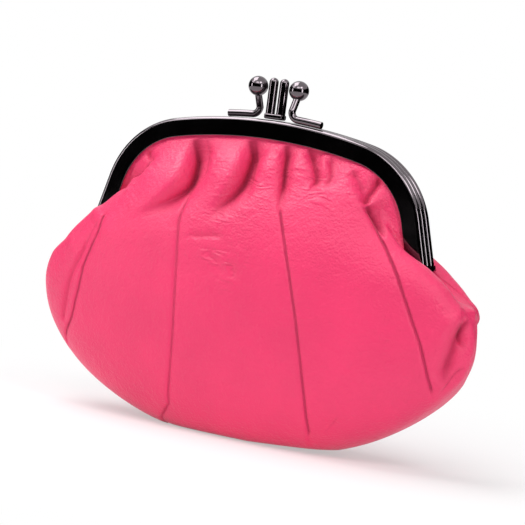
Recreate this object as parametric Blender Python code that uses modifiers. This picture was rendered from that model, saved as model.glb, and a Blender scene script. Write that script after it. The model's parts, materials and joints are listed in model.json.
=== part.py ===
"""Coin purse with two pouches and a three-bar clasp frame, in metres, +Z up, standing on z = 0.

X runs along the frame, the front of the purse faces -Y, and the origin is under the middle of the purse.
Three pressed channels share one hinge line. The outer two carry the gathered leather and swing away from the
middle one, which carries the divider. A ball on each outer channel snaps past two rods on the middle one.
"""

import math

import bmesh
import bpy
from mathutils import Matrix, Vector

# Frame outline, seen from the front
HINGE_HEIGHT = 0.050
FRAME_HALF_WIDTH = 0.0555
FRAME_RISE = 0.040
CROWN_RADIUS = 0.150
SHOULDER_RADIUS = 0.0264
LEG_FLARE = math.radians(15.5)
LEG_FOOT = 0.0055

# Channel section
CHANNEL_DEPTH = 0.0055
CHANNEL_WIDTH = 0.0024
CHANNEL_CORNER = 0.0009
CHANNEL_GAP = 0.0003
SHEET = 0.0005
FOOT_BLOCK = 0.0013

# Hinge: three plates side by side on one rivet at each end
PLATE = 0.0008
PLATE_GAP = 0.0003
PLATE_INSET = 0.0025
EYE_RADIUS = 0.0020
RIVET_RADIUS = 0.0009
RIVET_CLEARANCE = 0.0001
RIVET_HEAD_RADIUS = 0.0017
RIVET_HEAD = 0.0006

# Clasp
BALL_RADIUS = 0.0029
BALL_SPREAD = 0.0066
BALL_RISE = 0.0092
WIRE_RADIUS = 0.00105
WIRE_BEND = 0.0022
WIRE_FOOT = 0.0076
WIRE_SOCKET = 0.0012
ROD_RADIUS = 0.00135
ROD_SPREAD = 0.0017
ROD_TOP = 0.0121
TENON_RADIUS = 0.0007
CATCH_BASE_LENGTH = 0.0058
CATCH_BASE_WIDTH = 0.0034
CATCH_BASE_HEIGHT = 0.0016
SEAT_GAP = 0.0002
FIT_GAP = 0.0002

# Leather bag
BAG_HALF_WIDTH = 0.0710
BAG_HALF_DEPTH = 0.020
BELLY_HEIGHT = 0.036
BELLY_DROP = 0.0385
BELLY_RISE = 0.027
BELLY_ROUNDNESS = 2.4
SLICE_ROUNDNESS = 2.2
POUCH_HEIGHT = 0.045
SEAM_PINCH = 0.0018
SEAM_PINCH_REACH = 0.006
BOTTOM_SEAM_SHARE = 0.6
LEATHER = 0.0008
LINING = 0.0004
SOFT_GAP = 0.0003
SEAM_GAP = 0.0004
LINING_GAP = 0.0005
MOUTH_PUFF = 0.012
MOUTH_RISE = 0.014
MOUTH_EXIT = math.radians(55)
EDGE_IN_SLOT = 0.0016
# Distance of the seams between gores from the middle, at the pouch's top edge and at its foot
INNER_SEAM_TOP = 0.0195
INNER_SEAM_FOOT = 0.0235
OUTER_SEAM_TOP = 0.054
OUTER_SEAM_FOOT = 0.067
SEAM_LIMIT = 0.88
GORE_NAMES = ("far_left", "left", "centre", "right", "far_right")

# Divider and packing cord
DIVIDER = 0.0008
DIVIDER_FLOOR = 0.0025
DIVIDER_CLEARANCE = 0.0015
CORD_RADIUS = 0.0004

# Facets
FRAME_STATIONS = 34
ROUND_STEPS = 16
MOUTH_COLUMNS = 26
MOUTH_ROWS = 7
GORE_COLUMNS = 5
GORE_FLOOR_ROWS = 2
GORE_WALL_ROWS = 8
LINING_COLUMNS = 24

CHANNEL_PITCH = CHANNEL_WIDTH + CHANNEL_GAP
CROWN_HEIGHT = HINGE_HEIGHT + FRAME_RISE
FLOOR_SHARE = GORE_FLOOR_ROWS / (GORE_FLOOR_ROWS + GORE_WALL_ROWS)
FRONT, MIDDLE, BACK = -1, 0, 1


def clear_scene():
    for obj in list(bpy.data.objects):
        bpy.data.objects.remove(obj)


def collection(name):
    made = bpy.data.collections.new(name)
    bpy.context.scene.collection.children.link(made)
    return made


def finish_material(name, colour, roughness, metallic):
    """A Principled material; colour is linear red, green and blue."""
    made = bpy.data.materials.new(name)
    made.use_nodes = True
    shader = made.node_tree.nodes["Principled BSDF"]
    shader.inputs["Base Color"].default_value = (*colour, 1.0)
    shader.inputs["Roughness"].default_value = roughness
    shader.inputs["Metallic"].default_value = metallic
    return made


def adopt(obj, name, group, material):
    """Names an object and puts it in one collection with one material."""
    obj.name = name
    obj.data.name = name
    for holder in list(obj.users_collection):
        holder.objects.unlink(obj)
    group.objects.link(obj)
    obj.data.materials.clear()
    if material:
        obj.data.materials.append(material)
    return obj


def as_cutter(obj):
    obj.hide_render = True
    obj.display_type = "WIRE"
    return obj


def combine(obj, other, operation):
    modifier = obj.modifiers.new(operation.lower(), "BOOLEAN")
    modifier.operation = operation
    modifier.object = other
    modifier.solver = "EXACT"


def solid(name, bm, group, material):
    """An object from a bmesh, which is freed."""
    mesh = bpy.data.meshes.new(name)
    bm.to_mesh(mesh)
    bm.free()
    return adopt(bpy.data.objects.new(name, mesh), name, group, material)


def hull(name, points, group, material):
    """The convex solid around these points."""
    bm = bmesh.new()
    for point in points:
        bm.verts.new(point)
    made = bmesh.ops.convex_hull(bm, input=bm.verts)
    bmesh.ops.delete(bm, geom=list(set(made["geom_interior"] + made["geom_unused"])), context="VERTS")
    return solid(name, bm, group, material)


def sheet(name, place, across, along, thickness, group, material):
    """A shell: a grid whose point (u, v), each from 0 to 1, goes to place(u, v), thickened behind its face."""
    bpy.ops.mesh.primitive_grid_add(x_subdivisions=across, y_subdivisions=along, size=1)
    shell = bpy.context.object
    for vertex in shell.data.vertices:
        vertex.co = place(vertex.co.x + 0.5, vertex.co.y + 0.5)
    modifier = shell.modifiers.new("thickness", "SOLIDIFY")
    modifier.thickness = thickness
    modifier.offset = -1
    shell.data.shade_smooth()
    return adopt(shell, name, group, material)


def wire(name, points, radius, group, material, sides=2):
    """A round tube along these points, with closed ends."""
    curve = bpy.data.curves.new(name, "CURVE")
    curve.dimensions = "3D"
    spline = curve.splines.new("POLY")
    spline.points.add(len(points) - 1)
    for point, place in zip(spline.points, points):
        point.co = (*place, 1.0)
    curve.bevel_depth = radius
    curve.bevel_resolution = sides
    curve.use_fill_caps = True
    return adopt(bpy.data.objects.new(name, curve), name, group, material)


def turned(name, profile, place, group, material):
    """A shape turned about the vertical through place; profile runs from the top down, as (radius, height)."""
    bm = bmesh.new()
    points = [bm.verts.new((radius, 0.0, height)) for radius, height in profile]
    for first, second in zip(points, points[1:]):
        bm.edges.new((first, second))
    obj = solid(name, bm, group, material)
    obj.location = place
    modifier = obj.modifiers.new("turn", "SCREW")
    modifier.axis = "Z"
    modifier.steps = ROUND_STEPS
    modifier.render_steps = ROUND_STEPS
    modifier.use_merge_vertices = True
    modifier.merge_threshold = 0.00001
    return obj


def cylinder(name, radius, start, end, group, material=None):
    """A round bar from start to end."""
    start, end = Vector(start), Vector(end)
    bm = bmesh.new()
    bmesh.ops.create_cone(
        bm,
        cap_ends=True,
        segments=ROUND_STEPS,
        radius1=radius,
        radius2=radius,
        depth=(end - start).length,
    )
    turn = Vector((0, 0, 1)).rotation_difference(end - start).to_matrix().to_4x4()
    bmesh.ops.transform(bm, matrix=Matrix.Translation((start + end) / 2) @ turn, verts=bm.verts)
    return solid(name, bm, group, material)


# The arch of the frame


def channel_y(which):
    return which * CHANNEL_PITCH


def shoulder_angle():
    """Where the crown's arc meets a shoulder's arc, as the angle of their shared normal above the horizontal."""
    rise_of_centre = FRAME_RISE - CROWN_RADIUS
    reach = FRAME_HALF_WIDTH * math.cos(LEG_FLARE) - rise_of_centre * math.sin(LEG_FLARE) - SHOULDER_RADIUS
    return LEG_FLARE + math.acos(reach / (CROWN_RADIUS - SHOULDER_RADIUS))


def arch(share, inset, y):
    """A point of the arch: share runs from -1 at the left foot, over 0 at the crown, to 1 at the right foot.

    inset is measured inwards from the outer edge, square to it.
    """
    meet = shoulder_angle()
    crown_centre = Vector((0.0, FRAME_RISE - CROWN_RADIUS))
    towards = Vector((math.cos(meet), math.sin(meet)))
    shoulder_centre = crown_centre + (CROWN_RADIUS - SHOULDER_RADIUS) * towards
    leg_normal = Vector((math.cos(LEG_FLARE), math.sin(LEG_FLARE)))
    leg_top = shoulder_centre + SHOULDER_RADIUS * leg_normal
    crown_length = CROWN_RADIUS * (math.pi / 2 - meet)
    shoulder_length = SHOULDER_RADIUS * (meet - LEG_FLARE)
    leg_length = (leg_top.y - LEG_FOOT) / math.cos(LEG_FLARE)
    run = abs(share) * (crown_length + shoulder_length + leg_length)
    if run <= crown_length:
        angle = math.pi / 2 - run / CROWN_RADIUS
        normal = Vector((math.cos(angle), math.sin(angle)))
        edge = crown_centre + CROWN_RADIUS * normal
    elif run <= crown_length + shoulder_length:
        angle = meet - (run - crown_length) / SHOULDER_RADIUS
        normal = Vector((math.cos(angle), math.sin(angle)))
        edge = shoulder_centre + SHOULDER_RADIUS * normal
    else:
        down = run - crown_length - shoulder_length
        normal = leg_normal
        edge = leg_top + down * Vector((math.sin(LEG_FLARE), -math.cos(LEG_FLARE)))
    spot = edge - inset * normal
    return Vector((math.copysign(spot.x, share), y, HINGE_HEIGHT + spot.y))


def above_foot(blocks):
    """The share of the arch that lies this many foot blocks above the end of a leg."""
    return 1 - blocks * FOOT_BLOCK / (FRAME_RISE + FRAME_HALF_WIDTH)


def crown_z(x):
    """Height of the frame's top edge near its middle."""
    return CROWN_HEIGHT - CROWN_RADIUS + math.sqrt(CROWN_RADIUS**2 - x**2)


def channel_profile():
    """The channel's outer face, from its front lip over the web to its back lip, as (inset, y)."""
    half = CHANNEL_WIDTH / 2
    centre = half - CHANNEL_CORNER
    corner = [
        (CHANNEL_CORNER * (1 - math.sin(turn)), centre + CHANNEL_CORNER * math.cos(turn))
        for turn in (0.0, math.pi / 4, math.pi / 2)
    ]
    back = [(CHANNEL_DEPTH, half)] + corner
    front = [(inset, -y) for inset, y in back]
    return front + back[::-1]


def plate_layer(which):
    """The hinge plate's inner and outer x at the right end; the front frame's plate lies outermost."""
    outer = FRAME_HALF_WIDTH - PLATE_INSET - (which - FRONT) * (PLATE + PLATE_GAP)
    return outer - PLATE, outer


def foot_block(name, which, side, group):
    """The closed end of a channel's leg, set into its walls."""
    wall = SHEET * 0.6
    ends = [
        arch(side * share, inset, channel_y(which) + turn * (CHANNEL_WIDTH / 2 - wall))
        for share in (above_foot(-0.1), above_foot(1))
        for inset in (wall, CHANNEL_DEPTH - wall)
        for turn in (-1, 1)
    ]
    return hull(name, ends, group, None)


def hinge_plate(name, which, side, group):
    """The flat plate from a leg's foot down to its eye on the hinge line."""
    inner, outer = plate_layer(which)
    eye = [
        (EYE_RADIUS * math.cos(turn), HINGE_HEIGHT + EYE_RADIUS * math.sin(turn))
        for turn in (math.tau * step / ROUND_STEPS for step in range(ROUND_STEPS))
    ]
    edge = arch(1.0, 0.0, channel_y(which))
    foot_z = edge.z - (edge.x - (inner + outer) / 2) * math.tan(LEG_FLARE)
    half_neck = CHANNEL_WIDTH / 2 - SHEET
    neck = [(channel_y(which) + turn * half_neck, foot_z + FOOT_BLOCK / 2) for turn in (-1, 1)]
    points = [(side * x, y, z) for x in (inner, outer) for y, z in eye + neck]
    return hull(name, points, group, None)


def frame_bar(name, which, group, cutters, material):
    """One pressed channel, with the hinge plates that close its two feet."""
    profile = channel_profile()

    def place(u, v):
        inset, y = profile[round(v * (len(profile) - 1))]
        return arch(2 * u - 1, inset, channel_y(which) + y)

    bar = sheet(name, place, FRAME_STATIONS, len(profile) - 1, SHEET, group, material)
    for side, label in ((-1, "left"), (1, "right")):
        block = as_cutter(foot_block(f"{name}_{label}_foot", which, side, cutters))
        plate = as_cutter(hinge_plate(f"{name}_{label}_plate", which, side, cutters))
        hole = as_cutter(rivet_hole(f"{name}_{label}_hole", which, side, cutters))
        combine(plate, hole, "DIFFERENCE")
        combine(bar, block, "UNION")
        combine(bar, plate, "UNION")
    return bar


def rivet_hole(name, which, side, group):
    inner, outer = plate_layer(which)
    radius = RIVET_RADIUS + RIVET_CLEARANCE
    start = (side * (inner - PLATE_GAP), 0, HINGE_HEIGHT)
    end = (side * (outer + PLATE_GAP), 0, HINGE_HEIGHT)
    return cylinder(name, radius, start, end, group)


def hinge_rivet(name, side, group, material):
    """A rivet with a head on each side of the three plates, turned and laid along X."""
    inner = plate_layer(BACK)[0] - PLATE_GAP
    outer = plate_layer(FRONT)[1] + PLATE_GAP
    profile = [
        (0.0, outer + RIVET_HEAD),
        (RIVET_HEAD_RADIUS * 0.7, outer + RIVET_HEAD),
        (RIVET_HEAD_RADIUS, outer + RIVET_HEAD / 2),
        (RIVET_HEAD_RADIUS, outer),
        (RIVET_RADIUS, outer),
        (RIVET_RADIUS, inner),
        (RIVET_HEAD_RADIUS, inner),
        (RIVET_HEAD_RADIUS, inner - RIVET_HEAD),
        (0.0, inner - RIVET_HEAD),
    ]
    rivet = turned(name, profile, (0, 0, HINGE_HEIGHT), group, material)
    rivet.rotation_euler = (0, side * math.pi / 2, 0)
    return rivet


def packing_cord(name, which, group, material):
    """The twisted paper cord that wedges the cloth or leather at the bottom of a channel's slot."""
    inset = SHEET + SOFT_GAP + CORD_RADIUS
    last = above_foot(2)
    steps = FRAME_STATIONS
    route = [arch(last * (2 * step / steps - 1), inset, channel_y(which)) for step in range(steps + 1)]
    return wire(name, route, CORD_RADIUS, group, material, sides=1)


# The clasp


def ball_centre(which):
    """The front ball stands to the right of the rods, the back ball to their left, both over the middle bar."""
    return Vector((-which * BALL_SPREAD, 0.0, CROWN_HEIGHT + BALL_RISE))


def stem_route(which):
    """The wire from its foot on the crown, round a bend and up into the ball."""
    side = -which
    centre = ball_centre(which)
    lift = WIRE_RADIUS + SEAT_GAP
    bend_x = BALL_SPREAD + WIRE_BEND
    foot_z = crown_z(bend_x) + lift
    route = [(bend_x + WIRE_FOOT * part, crown_z(bend_x + WIRE_FOOT * part) + lift) for part in (1.0, 0.5)]
    for step in range(7):
        turn = math.pi / 2 * step / 6
        route.append((bend_x - WIRE_BEND * math.sin(turn), foot_z + WIRE_BEND * (1 - math.cos(turn))))
    start = route[-1][1]
    end = centre.z - BALL_RADIUS + WIRE_SOCKET
    route += [(BALL_SPREAD, start + (end - start) * step / 4) for step in range(1, 5)]
    points = []
    for x, z in route:
        rise = min(max((z - start) / (end - start), 0.0), 1.0)
        points.append(Vector((side * x, channel_y(which) * (1 - 0.85 * rise), z)))
    return points


def clasp_stem(name, which, group, material):
    return wire(name, stem_route(which), WIRE_RADIUS, group, material)


def clasp_ball(name, which, group, cutters, material):
    """A ball with a blind socket for the end of its stem."""
    bm = bmesh.new()
    bmesh.ops.create_uvsphere(bm, u_segments=ROUND_STEPS, v_segments=ROUND_STEPS * 5 // 8, radius=BALL_RADIUS)
    bmesh.ops.translate(bm, vec=ball_centre(which), verts=bm.verts)
    ball = solid(name, bm, group, material)
    ball.data.shade_smooth()
    before, end = stem_route(which)[-2:]
    along = (end - before).normalized()
    socket = cylinder(
        f"{name}_socket",
        WIRE_RADIUS + FIT_GAP,
        end - along * BALL_RADIUS,
        end + along * FIT_GAP,
        cutters,
    )
    combine(ball, as_cutter(socket), "DIFFERENCE")
    return ball


def catch_base(name, group, cutters, material):
    """The block on the middle bar's crown that holds both rods."""
    bottom = crown_z(0.0) + SEAT_GAP
    bm = bmesh.new()
    bmesh.ops.create_cube(bm, size=1.0)
    bmesh.ops.scale(bm, vec=(CATCH_BASE_LENGTH, CATCH_BASE_WIDTH, CATCH_BASE_HEIGHT), verts=bm.verts)
    bmesh.ops.translate(bm, vec=(0, 0, bottom + CATCH_BASE_HEIGHT / 2), verts=bm.verts)
    base = solid(name, bm, group, material)
    bevel = base.modifiers.new("round", "BEVEL")
    bevel.width = CATCH_BASE_HEIGHT / 4
    bevel.segments = 2
    for side in (-1, 1):
        x = side * ROD_SPREAD
        hole = cylinder(
            f"{name}_hole_{side}",
            TENON_RADIUS + FIT_GAP,
            (x, 0, bottom - SEAT_GAP),
            (x, 0, bottom + 2 * CATCH_BASE_HEIGHT),
            cutters,
        )
        combine(base, as_cutter(hole), "DIFFERENCE")
    return base


def catch_rod(name, side, group, material):
    """A round rod with a domed top and a tenon in the base."""
    shoulder = CATCH_BASE_HEIGHT + 2 * SEAT_GAP
    dome = [
        (ROD_RADIUS * math.sin(turn), ROD_TOP - ROD_RADIUS * (1 - math.cos(turn)))
        for turn in (math.pi / 2 * step / 5 for step in range(6))
    ]
    profile = dome + [
        (ROD_RADIUS, shoulder),
        (TENON_RADIUS, shoulder),
        (TENON_RADIUS, 2 * SEAT_GAP),
        (0.0, 2 * SEAT_GAP),
    ]
    return turned(name, profile, (side * ROD_SPREAD, 0, CROWN_HEIGHT), group, material)


# The leather and its lining


def belly(z):
    """The share of the bag's full width and depth that its slice at height z has."""
    away = (BELLY_HEIGHT - z) / BELLY_DROP if z < BELLY_HEIGHT else (z - BELLY_HEIGHT) / BELLY_RISE
    return (1 - away**BELLY_ROUNDNESS) ** (1 / BELLY_ROUNDNESS)


def slice_point(t, half_width, half_depth, z):
    """A point on the front half of a level slice, t from 0 at the left side seam to 1 at the right one."""
    across, forward = math.cos(math.pi * (1 - t)), math.sin(math.pi * t)
    power = 2 / SLICE_ROUNDNESS
    x = math.copysign(half_width * abs(across) ** power, across)
    y = -SOFT_GAP - half_depth * max(forward, 0.0) ** power
    pinch = SEAM_PINCH * half_width / BAG_HALF_WIDTH * math.exp(-((y / SEAM_PINCH_REACH) ** 2))
    return Vector((x - math.copysign(pinch, across), y, z))


def pouch_level(v):
    """The height of the pouch's wall at v, which is 0 on its floor."""
    return POUCH_HEIGHT * max((v - FLOOR_SHARE) / (1 - FLOOR_SHARE), 0.0) ** 1.6


def pouch_front(t, v):
    """The front of the lower pouch: v runs from 0 at the bottom seam, over the floor and up to 1 at its top edge."""
    z = pouch_level(v)
    width = BAG_HALF_WIDTH * belly(z)
    depth = BAG_HALF_DEPTH * belly(z)
    if v < FLOOR_SHARE:
        out = v / FLOOR_SHARE
        width *= BOTTOM_SEAM_SHARE + (1 - BOTTOM_SEAM_SHARE) * out
        depth *= out
    return slice_point(t, width, depth, z)


def seam_t(number, v):
    """Where a seam crosses the pouch at v: seams 0 and 5 are the side seams, and 1 to 4 part the gores."""
    if number in (0, len(GORE_NAMES)):
        return 0.0 if number == 0 else 1.0
    z = pouch_level(v)
    inner = number in (2, 3)
    top, foot = (INNER_SEAM_TOP, INNER_SEAM_FOOT) if inner else (OUTER_SEAM_TOP, OUTER_SEAM_FOOT)
    out = (foot + (top - foot) * z / POUCH_HEIGHT) / (BAG_HALF_WIDTH * belly(z))
    share = 1 - math.acos(min(out, SEAM_LIMIT, 1.0) ** (SLICE_ROUNDNESS / 2)) / (math.pi / 2)
    return 0.5 + math.copysign(share / 2, number - 2.5)


def mouth_front(t, v):
    """The gathered front above the pouch: v runs from 0 at its lower edge to 1 inside the front channel's slot."""
    y = channel_y(FRONT) - LEATHER / 2
    share = (2 * t - 1) * above_foot(2)
    exit_inset = CHANNEL_DEPTH + SOFT_GAP
    last_row = (MOUTH_ROWS - 1) / MOUTH_ROWS
    if v > last_row + 1e-6:
        return arch(share, CHANNEL_DEPTH - EDGE_IN_SLOT, y)
    s = v / last_row
    lip = arch(share, exit_inset, y)
    inwards = (arch(share, exit_inset + MOUTH_PUFF, y) - lip).normalized()
    lip_pull = lip + MOUTH_PUFF * (inwards * math.cos(MOUTH_EXIT) + Vector((0, -math.sin(MOUTH_EXIT), 0)))
    lean = 1 - math.sin(math.pi * t)
    edge_z = POUCH_HEIGHT + SOFT_GAP + LEATHER * (0.2 + 0.8 * lean)
    edge = slice_point(t, BAG_HALF_WIDTH * belly(edge_z), BAG_HALF_DEPTH * belly(edge_z), edge_z)
    edge_pull = edge + Vector((0, 0, MOUTH_RISE * (1 - 0.7 * lean)))
    return (
        edge * (1 - s) ** 3
        + edge_pull * 3 * s * (1 - s) ** 2
        + lip_pull * 3 * s**2 * (1 - s)
        + lip * s**3
    )


def inside(surface, t, v, depth):
    """The point that lies depth behind the outer face of a front surface."""
    step = 0.01
    low_t, high_t = max(t - step, 0.0), min(t + step, 1.0)
    low_v, high_v = max(v - step, 0.0), min(v + step, 1.0)
    along_t = surface(high_t, v) - surface(low_t, v)
    along_v = surface(t, high_v) - surface(t, low_v)
    return surface(t, v) - depth * along_t.cross(along_v).normalized()


def facing(which, surface):
    """A front surface as it is, or turned to the back of the purse."""
    if which == FRONT:
        return surface

    def turned_round(u, v):
        spot = surface(1 - u, v)
        return Vector((spot.x, -spot.y, spot.z))

    return turned_round


def gore(name, which, number, group, material):
    """One leather gore of the lower pouch, between its seam of this number and the next."""
    step = 0.001
    near = SEAM_GAP / 2 if number > 0 else 0.0
    far = SEAM_GAP / 2 if number < len(GORE_NAMES) - 1 else 0.0

    def place(u, v):
        low, high = seam_t(number, v), seam_t(number + 1, v)
        t = low + u * (high - low)
        across = pouch_front(min(t + step, 1.0), v) - pouch_front(max(t - step, 0.0), v)
        return pouch_front(t, v) + across.normalized() * (near * (1 - u) - far * u)

    rows = GORE_FLOOR_ROWS + GORE_WALL_ROWS
    return sheet(name, facing(which, place), GORE_COLUMNS, rows, LEATHER, group, material)


def pouch_lining(name, which, group, material):
    """The lining of one compartment, close inside the leather of the pouch."""
    start = 0.075

    def place(u, v):
        t = start + u * (1 - 2 * start)
        return inside(pouch_front, t, 0.06 + 0.93 * v, LEATHER + LINING_GAP)

    rows = GORE_FLOOR_ROWS + GORE_WALL_ROWS
    return sheet(name, facing(which, place), LINING_COLUMNS, rows, LINING, group, material)


def mouth_leather(name, which, group, material):
    """The gathered upper part of one side, whose edge lies in its channel."""
    return sheet(name, facing(which, mouth_front), MOUTH_COLUMNS, MOUTH_ROWS, LEATHER, group, material)


def mouth_lining(name, which, group, material):
    start = 0.08

    def place(u, v):
        t = start + u * (1 - 2 * start)
        return inside(mouth_front, t, 0.02 + 0.66 * v, LEATHER + LINING_GAP)

    return sheet(name, facing(which, place), LINING_COLUMNS, MOUTH_ROWS - 2, LINING, group, material)


def divider_outline():
    """Half of the divider's outline, from the top of the middle bar's slot down to the middle of its foot."""
    last = above_foot(3)
    steps = FRAME_STATIONS // 2
    in_slot = CHANNEL_DEPTH - EDGE_IN_SLOT
    points = [arch(last * step / steps, in_slot, 0.0) for step in range(steps + 1)]
    beside_rivet = plate_layer(BACK)[0] - PLATE_GAP - RIVET_HEAD - DIVIDER_CLEARANCE
    leaves = arch(last, CHANNEL_DEPTH + DIVIDER_CLEARANCE, 0.0)
    points.append(Vector((min(leaves.x, beside_rivet), 0.0, leaves.z)))
    points.append(Vector((beside_rivet, 0.0, HINGE_HEIGHT - RIVET_HEAD_RADIUS - DIVIDER_CLEARANCE)))
    wall = SEAM_PINCH + LEATHER + SOFT_GAP + LINING + DIVIDER_CLEARANCE
    top = min(POUCH_HEIGHT, HINGE_HEIGHT - RIVET_HEAD_RADIUS - 2 * DIVIDER_CLEARANCE)
    for step in range(9):
        z = top + (DIVIDER_FLOOR - top) * (step / 8) ** 0.7
        points.append(Vector((BAG_HALF_WIDTH * belly(max(z - DIVIDER_FLOOR, 0.0)) - wall, 0.0, z)))
    return points


def divider_panel(name, group, material):
    """The stiffened cloth wall between the two compartments, held in the middle bar."""
    half = [(point.x, point.z) for point in divider_outline()]
    outline = half + [(-x, z) for x, z in half[::-1] if x > 0]
    curve = bpy.data.curves.new(name, "CURVE")
    curve.dimensions = "2D"
    curve.fill_mode = "BOTH"
    curve.extrude = DIVIDER / 2
    spline = curve.splines.new("POLY")
    spline.points.add(len(outline) - 1)
    for point, (x, z) in zip(spline.points, outline):
        point.co = (x, z, 0.0, 1.0)
    spline.use_cyclic_u = True
    panel = adopt(bpy.data.objects.new(name, curve), name, group, material)
    panel.rotation_euler = (math.pi / 2, 0, 0)
    return panel


def hinge_line(name, group):
    """An empty on the hinge line, which carries what swings about it."""
    empty = bpy.data.objects.new(name, None)
    empty.location = (0, 0, HINGE_HEIGHT)
    group.objects.link(empty)
    return empty


def hang(obj, empty):
    """Parents an object to an empty, and leaves it where it is."""
    obj.parent = empty
    obj.matrix_parent_inverse = Matrix.Translation(empty.location).inverted()


def main():
    clear_scene()
    purse = collection("coin_purse")
    cutters = collection("cutters")
    metal = finish_material("gunmetal_plated_steel", (0.030, 0.027, 0.030), 0.12, 1.0)
    leather = finish_material("pink_nappa_leather", (0.945, 0.058, 0.165), 0.45, 0.0)
    cloth = finish_material("black_lining_cloth", (0.012, 0.011, 0.012), 0.8, 0.0)
    paper = finish_material("paper_cord", (0.52, 0.40, 0.26), 0.9, 0.0)

    frame_bar("middle_frame", MIDDLE, purse, cutters, metal)
    packing_cord("middle_frame_cord", MIDDLE, purse, paper)
    divider_panel("divider_panel", purse, cloth)
    catch_base("catch_base", purse, cutters, metal)
    for side, label in ((-1, "left"), (1, "right")):
        hinge_rivet(f"{label}_hinge_rivet", side, purse, metal)
        catch_rod(f"{label}_catch_rod", side, purse, metal)

    for which, label in ((FRONT, "front"), (BACK, "back")):
        swinging = [
            frame_bar(f"{label}_frame", which, purse, cutters, metal),
            packing_cord(f"{label}_frame_cord", which, purse, paper),
            clasp_stem(f"{label}_clasp_stem", which, purse, metal),
            clasp_ball(f"{label}_clasp_ball", which, purse, cutters, metal),
            mouth_leather(f"{label}_mouth_leather", which, purse, leather),
            mouth_lining(f"{label}_mouth_lining", which, purse, cloth),
        ]
        line = hinge_line(f"{label}_hinge_line", purse)
        for obj in swinging:
            hang(obj, line)
        pouch_lining(f"{label}_pouch_lining", which, purse, cloth)
        for number, gore_name in enumerate(GORE_NAMES):
            gore(f"{label}_gore_{gore_name}", which, number, purse, leather)


if __name__ == "__main__":
    main()
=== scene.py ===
import json
import math

import bmesh
import bpy
import numpy as np
from bpy.props import FloatProperty, PointerProperty, StringProperty
from bpy.types import Operator, Panel, PropertyGroup
from mathutils import Matrix, Vector


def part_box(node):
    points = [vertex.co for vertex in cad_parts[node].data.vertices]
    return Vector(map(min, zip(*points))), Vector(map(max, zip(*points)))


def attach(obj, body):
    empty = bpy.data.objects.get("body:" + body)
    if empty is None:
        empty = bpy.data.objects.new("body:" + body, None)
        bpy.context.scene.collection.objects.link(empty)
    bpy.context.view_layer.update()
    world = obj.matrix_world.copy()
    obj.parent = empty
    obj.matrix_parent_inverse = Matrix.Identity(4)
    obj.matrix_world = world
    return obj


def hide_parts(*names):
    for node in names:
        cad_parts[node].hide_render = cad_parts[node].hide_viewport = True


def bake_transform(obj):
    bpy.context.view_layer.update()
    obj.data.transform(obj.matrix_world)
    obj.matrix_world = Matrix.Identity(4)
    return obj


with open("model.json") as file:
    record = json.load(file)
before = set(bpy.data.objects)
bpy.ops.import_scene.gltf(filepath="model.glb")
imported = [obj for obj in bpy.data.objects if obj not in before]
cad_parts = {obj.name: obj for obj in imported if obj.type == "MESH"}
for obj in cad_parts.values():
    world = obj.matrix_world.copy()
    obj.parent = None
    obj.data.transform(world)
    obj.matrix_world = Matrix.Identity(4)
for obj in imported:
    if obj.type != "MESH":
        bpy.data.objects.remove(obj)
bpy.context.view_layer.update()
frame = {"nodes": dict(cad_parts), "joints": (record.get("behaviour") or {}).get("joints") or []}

bl_info = {
    "name": "Clasp frame coin purse",
    "version": (1, 0, 0),
    "blender": (4, 5, 0),
    "location": "3D View > Sidebar > Coin purse",
    "description": "Gathered leather skins, lining and polished clasp frame for a coin purse",
    "category": "Object",
}

HINGE_HEIGHT = frame["joints"][0]["pos_m"][2]
CROWN_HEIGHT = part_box("front_frame")[1].z
SIDES = ("far_left", "left", "centre", "right", "far_right")
HALVES = ("front", "back")
PHOTO_WIDTH = 525


def length(name, description, default):
    """A size in metres."""
    return FloatProperty(name=name, description=description, default=default, unit="LENGTH")


def angle(name, description, degrees):
    """An angle, written in degrees."""
    return FloatProperty(name=name, description=description, default=math.radians(degrees), unit="ROTATION")


def colour(name, description, code):
    """A written sRGB colour."""
    return StringProperty(name=name, description=description, default=code)


class PurseFrameSizes(PropertyGroup):
    half_width: length("Half width", "From the middle to the outer edge of a leg, at the hinge line", 0.0555)
    crown_radius: length("Crown radius", "Outer edge of the crown", 0.150)
    shoulder_radius: length("Shoulder radius", "Outer edge of a shoulder", 0.0264)
    leg_flare: angle("Leg flare", "Lean of the legs away from upright", 15.5)
    leg_foot: length("Leg foot", "Height of a leg's end above the hinge line", 0.0055)
    depth: length("Flange", "Width of a channel seen from the front", 0.0055)
    width: length("Channel", "Thickness of one channel, front to back", 0.0024)
    gap: length("Gap", "Between neighbouring channels", 0.0003)
    wall: length("Wall", "Thickness of the pressed sheet", 0.0005)
    plate: length("Plate", "Thickness of a hinge plate", 0.0008)
    plate_gap: length("Plate gap", "Between neighbouring hinge plates", 0.0003)
    plate_inset: length("Plate inset", "Outermost hinge plate from a leg's outer edge", 0.0025)
    eye_radius: length("Eye", "Radius of a hinge plate's eye", 0.0020)
    eye_bore: length("Eye bore", "Radius of the hole for the rivet", 0.0010)
    metal: colour("Metal", "Colour of the plating", "#665F63")


class PurseBagSizes(PropertyGroup):
    half_width: length("Half width", "Half the bag's width", 0.0700)
    half_depth: length("Half depth", "Depth of one lobe", 0.0200)
    belly_height: length("Belly", "Height of the widest level", 0.036)
    pouch_height: length("Pouch", "Height where the gathers begin", 0.045)
    leather: length("Leather", "Thickness of the leather", 0.0008)
    lean: length("Lean", "How far the soft foot has slipped to the right of the frame", 0.004)
    pink: colour("Pink", "Colour of the leather", "#EF356B")
    cloth: colour("Cloth", "Colour of the lining", "#1B1719")


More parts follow.
